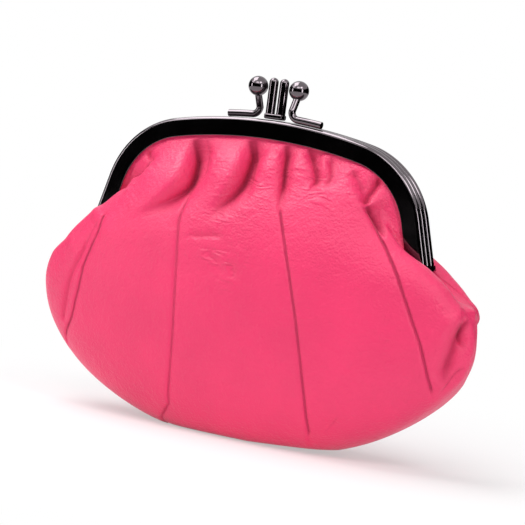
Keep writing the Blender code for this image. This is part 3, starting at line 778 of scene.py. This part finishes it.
def near_path(points, grid, outward, limit):
    """Grid points within a limit of a path: indices, distance, share along it, side and direction from it."""
    path = curve_through(points, PATH_POINTS)
    spots, ways = on_grid(path, grid), on_grid(path, outward)
    flat = grid.reshape(-1, 3)
    chosen = np.flatnonzero(np.all((flat > spots.min(0) - limit) & (flat < spots.max(0) + limit), axis=1))
    flat = flat[chosen]
    near = np.full(len(flat), np.inf)
    share, side = np.zeros(len(flat)), np.zeros(len(flat))
    offset = np.zeros((len(flat), 3))
    for start, end, way, place in zip(spots, spots[1:], ways, np.linspace(0, 1, PATH_POINTS)):
        span = end - start
        part = np.clip(((flat - start) @ span) / max(span @ span, 1e-12), 0.0, 1.0)
        reach = flat - start - part[:, None] * span
        distance = np.linalg.norm(reach, axis=1)
        closer = distance < near
        near[closer] = distance[closer]
        share[closer] = place + part[closer] / (PATH_POINTS - 1)
        offset[closer] = reach[closer]
        side[closer] = np.sign(reach[closer] @ np.cross(span, way))
    return chosen, near, share, side, offset / np.maximum(near, 1e-9)[:, None]


def skin_surface(across, along, folds, seams, crumples):
    """The front skin with its seams and folds as a grid, and the shades its material reads at each point."""
    columns, rows = np.linspace(0, 1, across + 1), np.linspace(0, 1, along + 1)
    t, v = np.meshgrid(columns, rows)
    base = level(skin_base(t, v), max(along // 60, 1), rows)
    out = normals(base)
    shift = np.zeros((t.size, 3))
    hollow, crumple = np.zeros(t.size), np.zeros(t.size)
    seam, sewn = np.full(t.size, 50.0), np.zeros(t.size)
    free = smooth(0.0, 0.05, np.minimum(t, 1 - t)) * (1 - smooth(LIP - 0.004, LIP + 0.008, v))
    free = (free * smooth(0.0, 0.05, v)).ravel()
    flat_out = out.reshape(-1, 3)
    for points, depth, left, right, tuck, fades in folds:
        widest = max(left, right) / 1000
        chosen, near, share, side, offset = near_path(points, base, out, 5 * widest)
        ending = smooth(0.0, fades[1], 1 - share + 1e-3) * free[chosen]
        strength = smooth(0.0, fades[0], share + 1e-3) * ending
        reach = np.where(side > 0, left, right) / 1000
        crease = 0.55 * (1 - smooth(0.002, 0.009, reach))
        blunt = VALLEY_BLUNT if depth > 0 else RIDGE_BLUNT
        away = np.hypot(near, blunt) - blunt
        shape = crease * np.exp(-away / reach) + (1 - crease) * np.exp(-((near / (1.6 * reach)) ** 2))
        shift[chosen] -= flat_out[chosen] * (strength * depth / 1000 * shape)[:, None]
        pulled = np.where(side > 0, tuck, 0.0) / 1000 * strength * np.exp(-near / PULL_REACH)
        shift[chosen] -= offset * (pulled * smooth(0.0, 0.0012, near))[:, None]
        # A valley also gets painted shade along its bottom, kept as hollow for the leather's colour.
        if depth > 0:
            wide = np.minimum(0.8 * reach, 0.00045 * depth)
            core = 0.75 * np.exp(-((near / wide) ** 2)) + 0.25 * np.exp(-((near / (2 * wide)) ** 2))
            dark = 0.9 * (1 - 0.7 * smooth(0.0022, 0.0028, min(left, right) / 1000))
            shown = smooth(0.0, 0.2 * fades[0], share + 1e-3) * ending
            hollow[chosen] += shown * min(depth / 3.0, 1) * dark * core
    for place, (points, clear) in enumerate(seams):
        chosen, near, share, side, offset = near_path(points, base, out, 0.2)
        dip = SEAM_DIP * np.exp(-near / DIP_REACH)
        dip -= WELT * np.where(side > 0, np.exp(-near / WELT_REACH), 0.0) * smooth(0.0002, 0.0010, near)
        shift[chosen] -= flat_out[chosen] * (free[chosen] * dip)[:, None]
        # Signs alternate from seam to seam, so that the way to the nearest seam runs on evenly between two.
        closer = near * 1000 < np.abs(seam[chosen])
        seam[chosen[closer]] = (near * 1000 * np.where(side < 0, -1, 1) * (-1) ** place)[closer]
        # How clearly the seam shows, in its groove's bump and in its painted shade.
        shown = clear * smooth(0.0, 0.04, share) * smooth(0.0, 0.04, 1 - share) * free[chosen]
        sewn[chosen[closer]] = shown[closer]
    for spot, radius, amount in crumples:
        away = np.linalg.norm(base - on_grid(np.array([spot]), base)[0], axis=-1).ravel()
        crumple += amount * np.exp(-((away / (radius / 1000)) ** 2))
    # hollow is painted shade in the valleys; crumple feeds the puckers' bump, and seam and sewn the seams'
    # bump and painted shade.
    shades = {"hollow": np.clip(hollow, 0, 1), "crumple": np.clip(crumple, 0, 1), "seam": seam, "sewn": sewn}
    shades = {label: value.reshape(t.shape) for label, value in shades.items()}
    return base + shift.reshape(base.shape), shades


def skin_piece(name, surface, shades, back, material):
    """A skin from a surface grid, mirrored for the back, with the shades that its material reads."""
    along, across = surface.shape[0] - 1, surface.shape[1] - 1
    spots = []

    def place(u, v):
        row = np.rint(v * along).astype(int)
        column = np.rint(u * across).astype(int)
        spots.append((row, column))
        points = surface[row, column].copy()
        if back:
            points[:, 1] *= -1
        return points

    obj = mapped_grid(name, across, along, place, material)
    if back:
        obj.data.flip_normals()
    for label, values in shades.items():
        shade = obj.data.attributes.new(label, "FLOAT", "POINT")
        shade.data.foreach_set("value", np.ascontiguousarray(values[spots[0]]))
    return obj


class PURSE_OT_leather(Operator):
    """Model the gathered leather of the front and the back"""

    bl_idname = "purse.leather"
    bl_label = "Leather"

    def execute(self, context):
        view = skin_in_photo()
        seams = [(on_skin(dense(path, SEAM_STEP), *view), clear) for path, clear in PHOTO_SEAMS.values()]
        crumples = [(on_skin([spot], *view)[0], *shape) for spot, *shape in PHOTO_CRUMPLES.values()]
        for half in HALVES:
            surface, shades = skin_surface(*LEATHER_GRID, folds_of(half, view), seams, crumples)
            obj = skin_piece(f"{half}_leather", surface, shades, half == "back", pink_nappa())
            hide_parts(*[f"{half}_gore_{side}" for side in SIDES], f"{half}_mouth_leather")
            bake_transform(obj)
        return {"FINISHED"}


# Gaps of a lining from the leather, from its folded mouth besides, and from the middle plane, and the rows
# and columns of its grid that are cut off at the foot and at each side.
LINING_GAP, PLEAT_GAP, DIVIDER_GAP, FOOT_TRIM, SIDE_TRIM = 0.0014, 0.0040, 0.0010, 6, 11
LINING_THICK, DIVIDER_THICK = 0.0003, 0.0006


class PURSE_OT_lining(Operator):
    """Model the woven lining inside the front and the back"""

    bl_idname = "purse.lining"
    bl_label = "Lining"

    def execute(self, context):
        view = skin_in_photo()
        for half in HALVES:
            surface, _ = skin_surface(*LINING_GRID, folds_of(half, view), (), ())
            z, deep = surface[..., 2], -surface[..., 1]
            pleat = smooth(0.026, 0.040, z) * (1 - smooth(0.062, 0.078, z)) * smooth(0.006, 0.012, deep)
            inner = surface - normals(surface) * (LINING_GAP + PLEAT_GAP * pleat)[..., None]
            inner[..., 1] = np.minimum(inner[..., 1], -DIVIDER_GAP)
            inner = inner[FOOT_TRIM:, SIDE_TRIM:-SIDE_TRIM]
            obj = skin_piece(f"{half}_lining", inner, {}, half == "back", lining_cloth())
            obj.data.flip_normals()
            thicken(obj, LINING_THICK)
            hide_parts(f"{half}_pouch_lining", f"{half}_mouth_lining")
            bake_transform(obj)
        return {"FINISHED"}


class PURSE_OT_divider(Operator):
    """Model the cloth panel between the two compartments"""

    bl_idname = "purse.divider"
    bl_label = "Divider"

    def execute(self, context):
        low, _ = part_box("divider_panel")
        size = frame_sizes()

        def place(u, v):
            top = arch((2 * u - 1) * 0.97, size.depth - 0.0015, 0.0)
            z = low.z + 0.002 + (top[:, 2] - low.z - 0.002) * v
            wide = np.interp(
                z,
                [0.002, 0.010, 0.020, 0.035, 0.044, 0.047, 0.053, 0.058],
                [0.032, 0.046, 0.055, 0.060, 0.055, 0.0480, 0.0480, 0.0475],
            )
            share = smooth(0.0, 1.0, (z - 0.050) / 0.012)
            x = wide * (2 * u - 1) * (1 - share) + top[:, 0] * share
            wave = 0.0002 * np.sin(u * 40) * np.sin(v * np.pi)
            return settled(np.stack([x, wave, z], -1))

        obj = mapped_grid("divider", *DIVIDER_GRID, place, lining_cloth())
        thicken(obj, DIVIDER_THICK)
        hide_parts("divider_panel")
        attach(obj, "pouch")
        return {"FINISHED"}


# Metal


def channel_profile(depth, width, wall):
    """Closed outline of a channel: inset from the outer edge, and offset from its middle."""
    half, tip, back = width / 2, 0.00008, 0.00115
    shell = [(depth, half - tip), (depth - 0.3 * tip, half - 0.3 * tip), (depth - tip, half)]
    shell += [(depth - 2 * tip, half), (back + tip, half), (back + 0.5 * tip, half)]
    turns = np.linspace(math.pi / 2, 0, 9)
    shell += [(back * (1 - math.cos(turn)), half - back * (1 - math.sin(turn))) for turn in turns]
    shell += [(inset, -offset) for inset, offset in reversed(shell)]
    inner = half - wall
    shell += [(depth - tip, -inner), (wall + tip, -inner), (wall, tip - inner), (wall, inner - tip)]
    shell += [(wall + tip, inner), (depth - tip, inner), (depth, inner + tip / 4), shell[0]]
    return np.array(shell)


def ball(bm, centre, radius):
    bmesh.ops.create_uvsphere(
        bm, u_segments=48, v_segments=32, radius=radius, matrix=Matrix.Translation(centre)
    )


def wire(bm, route, radius, sides=24):
    """A round wire along a route, with flat ends."""
    route = [Vector(point) for point in route]
    heading = (route[1] - route[0]).normalized()
    turn = Vector((0, 0, 1)).rotation_difference(heading).to_matrix().to_4x4()
    ring = bmesh.ops.create_circle(
        bm, cap_ends=True, segments=sides, radius=radius, matrix=Matrix.Translation(route[0]) @ turn
    )["verts"]
    edges = list({edge for vert in ring for edge in vert.link_edges})
    first = edges
    for here, (last, place) in enumerate(zip(route, route[1:]), 1):
        made = bmesh.ops.extrude_edge_only(bm, edges=edges)
        verts = verts_of(made)
        edges = [item for item in made["geom"] if isinstance(item, bmesh.types.BMEdge)]
        edges = [edge for edge in edges if all(vert in verts for vert in edge.verts)]
        bmesh.ops.translate(bm, verts=verts, vec=place - last)
        after = route[min(here + 1, len(route) - 1)]
        aim = ((after - place) if after != place else (place - last)).normalized()
        mean = ((place - last).normalized() + aim).normalized()
        swing = heading.rotation_difference(mean)
        bmesh.ops.rotate(bm, verts=verts, cent=place, matrix=swing.to_matrix())
        heading = mean
    for edge in [*first, *edges]:
        edge.smooth = False
    bmesh.ops.contextual_create(bm, geom=edges)


def hinge_plate(bm, which, side, foot):
    """The plate from a leg's foot down to its eye on the rivet; the three plates lie side by side."""
    size = frame_sizes()
    inset = size.plate_inset + size.plate + (which + 1) * (size.plate + size.plate_gap)
    inner = side * (size.half_width - inset)
    middle = Matrix.Translation((inner, 0, HINGE_HEIGHT)) @ Matrix.Rotation(math.pi / 2, 4, "Y")
    edges = []
    for radius in (size.eye_bore, size.eye_radius):
        ring = bmesh.ops.create_circle(bm, segments=32, radius=radius, matrix=middle)["verts"]
        edges += {edge for vert in ring for edge in vert.link_edges}
    eye = bmesh.ops.bridge_loops(bm, edges=edges)["faces"]
    outer = verts_of(bmesh.ops.extrude_face_region(bm, geom=eye))
    bmesh.ops.translate(bm, verts=outer, vec=(side * size.plate, 0, 0))
    neck = bmesh.ops.create_cube(bm, size=1.0)["verts"]
    half = size.width / 2 - size.wall
    for vert in neck:
        turn = math.copysign(1.0, vert.co.y)
        high = vert.co.z > 0
        vert.co.x = inner + side * size.plate * (vert.co.x + 0.5)
        vert.co.y = channel_y(which) + turn * half if high else turn * 0.6 * size.eye_radius
        vert.co.z = foot if high else HINGE_HEIGHT + 0.65 * size.eye_radius


def crown_z(x):
    """Height of the crown's outer edge."""
    radius = frame_sizes().crown_radius
    return CROWN_HEIGHT - radius + math.sqrt(radius * radius - x * x)


def stem_route(which, top):
    """The wire from its foot on the crown, round a bend and up into the ball."""
    size = clasp_sizes()
    lift = size.wire_radius + 0.0002
    bend_x = size.ball_spread + size.wire_bend
    foot_z = crown_z(bend_x) + lift
    route = []
    for part in np.linspace(1.0, 0.15, 6):
        x = bend_x + size.wire_foot * part
        route.append((x, crown_z(x) + lift))
    for turn in np.linspace(0, math.pi / 2, 13):
        route.append(
            (bend_x - size.wire_bend * math.sin(turn), foot_z + size.wire_bend * (1 - math.cos(turn)))
        )
    start = route[-1][1]
    end = top - size.ball_radius + 0.0010
    route += [(size.ball_spread, start + (end - start) * part) for part in np.linspace(0.1, 1.0, 10)]
    points = []
    for x, z in route:
        rise = min(max((z - start) / (end - start), 0.0), 1.0)
        points.append((-which * x, channel_y(which) * (1 - 0.85 * rise), z))
    return points


class PURSE_OT_frame_bars(Operator):
    """Model the three pressed channels of the clasp frame"""

    bl_idname = "purse.frame_bars"
    bl_label = "Frame bars"

    def execute(self, context):
        size = frame_sizes()
        outline = channel_profile(size.depth, size.width, size.wall)
        steps = 200
        for name, which, body in (
            ("front", -1, "front_bar"), ("middle", 0, "pouch"), ("back", 1, "back_bar")
        ):

            def place(u, v):
                row = np.rint(v * (len(outline) - 1)).astype(int)
                return arch(2 * u - 1, outline[row, 0], channel_y(which) + outline[row, 1])

            obj = mapped_grid(f"{name}_channel", steps, len(outline) - 1, place, gunmetal())
            bm = bmesh.new()
            bm.from_mesh(obj.data)
            bmesh.ops.remove_doubles(bm, verts=bm.verts, dist=1e-6)
            for side in (-1, 1):
                foot = arch(np.array([side]), np.array([size.depth / 2]), np.array([0.0]))[0]
                block = Matrix.Translation((foot[0], channel_y(which), foot[2] - 0.0002))
                block = block @ Matrix.Rotation(-side * size.leg_flare, 4, "Y")
                bmesh.ops.create_cube(
                    bm, size=1.0, matrix=block @ Matrix.Diagonal((size.depth, size.width, 0.0016, 1.0))
                )
                hinge_plate(bm, which, side, foot[2])
            bmesh.ops.recalc_face_normals(bm, faces=bm.faces)
            bm.to_mesh(obj.data)
            bm.free()
            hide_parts(f"{name}_frame")
            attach(obj, body)
        return {"FINISHED"}


class PURSE_OT_clasp(Operator):
    """Model the two crossing balls and their bent stems"""

    bl_idname = "purse.clasp"
    bl_label = "Clasp"

    def execute(self, context):
        size = clasp_sizes()
        for half, which in (("front", -1), ("back", 1)):
            centre = Vector((-which * size.ball_spread, 0, CROWN_HEIGHT + size.ball_rise))
            bm = bmesh.new()
            ball(bm, centre, size.ball_radius)
            obj = finished(f"{half}_ball", bm, gunmetal())
            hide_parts(f"{half}_clasp_ball")
            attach(obj, f"{half}_bar")

            bm = bmesh.new()
            wire(bm, stem_route(which, centre.z), size.wire_radius)
            bmesh.ops.recalc_face_normals(bm, faces=bm.faces)
            obj = finished(f"{half}_stem", bm, gunmetal())
            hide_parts(f"{half}_clasp_stem")
            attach(obj, f"{half}_bar")
        return {"FINISHED"}


class PURSE_OT_catch(Operator):
    """Model the two upright rods of the catch and their base"""

    bl_idname = "purse.catch"
    bl_label = "Catch"

    def execute(self, context):
        size = clasp_sizes()
        low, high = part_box("catch_base")
        bm = bmesh.new()
        bmesh.ops.create_cube(
            bm,
            size=1.0,
            matrix=Matrix.Translation((low + high) / 2) @ Matrix.Diagonal((*(high - low), 1.0)),
        )
        bmesh.ops.bevel(
            bm, geom=list(bm.edges), offset=0.0005, segments=4, affect="EDGES", profile=0.5, material=-1
        )
        obj = finished("catch_foot", bm, gunmetal())
        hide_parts("catch_base")
        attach(obj, "pouch")
        for side in ("left", "right"):
            low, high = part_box(f"{side}_catch_rod")
            top = high.z - size.rod_radius
            axis = (low + high) / 2
            bm = bmesh.new()
            ball(bm, (axis.x, axis.y, top), size.rod_radius)
            under = [vert for vert in bm.verts if vert.co.z < top - 1e-6]
            bmesh.ops.delete(bm, geom=under, context="VERTS")
            rim = [edge for edge in bm.edges if edge.is_boundary]
            foot = verts_of(bmesh.ops.extrude_edge_only(bm, edges=rim))
            bmesh.ops.translate(bm, verts=foot, vec=(0, 0, low.z + 0.0002 - top))
            rim = [edge for edge in bm.edges if edge.is_boundary]
            for edge in rim:
                edge.smooth = False
            bmesh.ops.contextual_create(bm, geom=rim)
            bmesh.ops.recalc_face_normals(bm, faces=bm.faces)
            obj = finished(f"{side}_rod", bm, gunmetal())
            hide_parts(f"{side}_catch_rod")
            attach(obj, "pouch")
        return {"FINISHED"}


class PURSE_OT_small_parts(Operator):
    """Finish the rivets and the paper cords, whose shapes come from the frame"""

    bl_idname = "purse.small_parts"
    bl_label = "Rivets and cords"

    def execute(self, context):
        looks = {f"{side}_hinge_rivet": gunmetal() for side in ("left", "right")}
        twist = paper_twist("paper_twist")
        looks |= {f"{bar}_frame_cord": twist for bar in ("front", "middle", "back")}
        for name, material in looks.items():
            materials = frame["nodes"][name].data.materials
            materials.clear()
            materials.append(material)
        return {"FINISHED"}


# The stage


def rays_seen(tree):
    """1 for the camera's rays and those that it sees mirrored or through something, else 0."""
    path = node(tree, "ShaderNodeLightPath")
    seen = path.outputs["Is Camera Ray"]
    for other in ("Is Glossy Ray", "Is Transmission Ray"):
        larger = node(tree, "ShaderNodeMath", {"operation": "MAXIMUM"}, {}, {0: seen, 1: path.outputs[other]})
        seen = larger.outputs[0]
    return seen


def end_in_mix(tree, share, first, second):
    """Ends a material in a mix of two shaders."""
    mix = node(tree, "ShaderNodeMixShader", {}, {}, {0: share, 1: first.outputs[0], 2: second.outputs[0]})
    output = next(item for item in tree.nodes if item.type == "OUTPUT_MATERIAL")
    tree.links.new(mix.outputs[0], output.inputs["Surface"])


def white_paper(name):
    """White sweep paper: plain white away from the purse, with a soft shadow near it."""
    values = {"Base Color": linear("#F6F4F5"), "Roughness": 0.9, "Specular IOR Level": 0.1}
    made, tree, shader, place = new_material(name, values)
    glow = node(tree, "ShaderNodeEmission", {}, {"Color": linear("#FFFFFF"), "Strength": 1.0})
    far = node(tree, "ShaderNodeVectorMath", {"operation": "LENGTH"}, {}, {0: place})
    # The shadow fades out between 50 and 160 mm from the middle.
    share = node(
        tree, "ShaderNodeMapRange", {"interpolation_type": "SMOOTHSTEP"},
        {"From Min": 0.05, "From Max": 0.16, "To Min": 0.45, "To Max": 1.0},
        {"Value": far.outputs["Value"]},
    )
    shown = {0: rays_seen(tree), 1: share.outputs[0]}
    seen = node(tree, "ShaderNodeMath", {"operation": "MULTIPLY"}, {}, shown)
    end_in_mix(tree, seen.outputs[0], shader, glow)
    return made


def black_felt(name):
    """Black felt of a studio flag: it shows only in the polished metal, which it keeps dark."""
    values = {"Base Color": linear("#0B0B0B"), "Roughness": 1.0, "Specular IOR Level": 0.0}
    made, tree, shader, _ = new_material(name, values)
    unseen = node(tree, "ShaderNodeBsdfTransparent")
    path = node(tree, "ShaderNodeLightPath")
    end_in_mix(tree, path.outputs["Is Glossy Ray"], unseen, shader)
    return made


def studio_world(name, fill_light):
    """White for the camera, and an even, weaker fill for everything that it lights."""
    world = bpy.data.worlds.new(name)
    world.use_nodes = True
    tree = world.node_tree
    tree.nodes.clear()
    fill = node(tree, "ShaderNodeBackground", {}, {"Color": linear("#FFFFFF"), "Strength": fill_light})
    white = node(tree, "ShaderNodeBackground", {}, {"Color": linear("#FFFFFF"), "Strength": 1.0})
    shown = {0: rays_seen(tree), 1: fill.outputs[0], 2: white.outputs[0]}
    mix = node(tree, "ShaderNodeMixShader", {}, {}, shown)
    node(tree, "ShaderNodeOutputWorld", links={"Surface": mix.outputs[0]})
    return world


FLOOR_HEIGHT, FLOOR_HALF = -0.0016, 3.0
FLAG_RADIUS, FLAG_HEIGHT, FLAG_START, FLAG_SWEEP = 0.56, 0.36, -123, 300
FILL_LIGHT = 0.23
# Each lamp's place, aim, width, height and power. The boxes light the leather and show along the crown,
# and the streaks show along the legs.
LAMPS = {
    "key_box": ((-0.36, -0.065, 0.80), (0, 0, 0.08), 0.70, 0.44, 5.3),
    "left_box": ((-0.62, -0.40, 0.62), (0, 0, 0.05), 0.40, 0.40, 1.3),
    "front_box": ((0.15, -0.75, 0.75), (0, 0, 0.05), 0.50, 0.30, 1.7),
    "right_box": ((0.42, -0.29, 0.56), (0, 0, 0.08), 0.25, 0.20, 0.90),
    "right_streak": ((0.42, -0.20, 0.15), (0, 0, 0.09), 0.10, 0.26, 0.50),
    "left_streak": ((-0.42, -0.30, 0.13), (0, 0, 0.09), 0.08, 0.22, 0.34),
}


class PURSE_OT_stage(Operator):
    """Set up the white floor, the black flag, the soft studio lights and the camera"""

    bl_idname = "purse.stage"
    bl_label = "Stage"

    def execute(self, context):
        scene = context.scene
        bm = bmesh.new()
        bmesh.ops.create_grid(bm, x_segments=1, y_segments=1, size=FLOOR_HALF)
        bmesh.ops.translate(bm, verts=bm.verts, vec=(0, 0, FLOOR_HEIGHT))
        floor = finished("floor", bm, white_paper("white_paper"), False)
        bm = bmesh.new()
        edge = [bm.verts.new((0.0, -FLAG_RADIUS, height)) for height in (0.0, FLAG_HEIGHT)]
        bmesh.ops.rotate(bm, verts=edge, matrix=Matrix.Rotation(math.radians(FLAG_START), 3, "Z"))
        rim = bm.edges.new(edge)
        bmesh.ops.spin(bm, geom=[*edge, rim], axis=(0, 0, 1), angle=math.radians(FLAG_SWEEP), steps=60)
        flag = finished("black_flag", bm, black_felt("black_flag"), False)
        scene.world = studio_world("studio", FILL_LIGHT)

        for name, (spot, aim, wide, tall, power) in LAMPS.items():
            light = bpy.data.lights.new(name, "AREA")
            light.shape = "RECTANGLE"
            light.size, light.size_y = wide, tall
            light.energy = power
            obj = bpy.data.objects.new(name, light)
            obj.location = spot
            obj.rotation_euler = (Vector(aim) - Vector(spot)).to_track_quat("-Z", "Y").to_euler()
            scene.collection.objects.link(obj)

        lens = bpy.data.cameras.new("camera")
        lens.sensor_width = camera_sizes().sensor
        lens.lens = camera_sizes().lens
        lens.clip_start, lens.clip_end = 0.05, 20.0
        camera = bpy.data.objects.new("camera", lens)
        spot, right, up, away = camera_place()
        camera.matrix_world = Matrix.Translation(spot) @ Matrix((right, up, away)).transposed().to_4x4()
        scene.collection.objects.link(camera)
        scene.camera = camera
        scene.view_settings.view_transform = "Standard"
        scene.view_settings.look = "None"
        return {"FINISHED"}


class PURSE_PT_panel(Panel):
    bl_idname = "PURSE_PT_panel"
    bl_label = "Coin purse"
    bl_space_type = "VIEW_3D"
    bl_region_type = "UI"
    bl_category = "Coin purse"

    def draw(self, context):
        for group, title in (
            (context.scene.purse_frame, "Frame"),
            (context.scene.purse_bag, "Bag"),
            (context.scene.purse_clasp, "Clasp"),
            (context.scene.purse_camera, "Camera"),
        ):
            box = self.layout.box()
            box.label(text=title)
            for key in group.bl_rna.properties.keys():
                if key not in ("rna_type", "name"):
                    box.prop(group, key)
        for maker in OPERATORS:
            self.layout.operator(maker.bl_idname)


OPERATORS = (
    PURSE_OT_leather,
    PURSE_OT_lining,
    PURSE_OT_divider,
    PURSE_OT_frame_bars,
    PURSE_OT_clasp,
    PURSE_OT_catch,
    PURSE_OT_small_parts,
    PURSE_OT_stage,
)
CLASSES = (PurseFrameSizes, PurseBagSizes, PurseClaspSizes, PurseCameraSizes, *OPERATORS, PURSE_PT_panel)


def register():
    for item in CLASSES:
        bpy.utils.register_class(item)
    bpy.types.Scene.purse_frame = PointerProperty(type=PurseFrameSizes)
    bpy.types.Scene.purse_bag = PointerProperty(type=PurseBagSizes)
    bpy.types.Scene.purse_clasp = PointerProperty(type=PurseClaspSizes)
    bpy.types.Scene.purse_camera = PointerProperty(type=PurseCameraSizes)


def unregister():
    for name in ("purse_frame", "purse_bag", "purse_clasp", "purse_camera"):
        delattr(bpy.types.Scene, name)
    for item in reversed(CLASSES):
        bpy.utils.unregister_class(item)


def main():
    register()
    for maker in OPERATORS:
        area, name = maker.bl_idname.split(".")
        getattr(getattr(bpy.ops, area), name)()


if __name__ == "__main__":
    main()
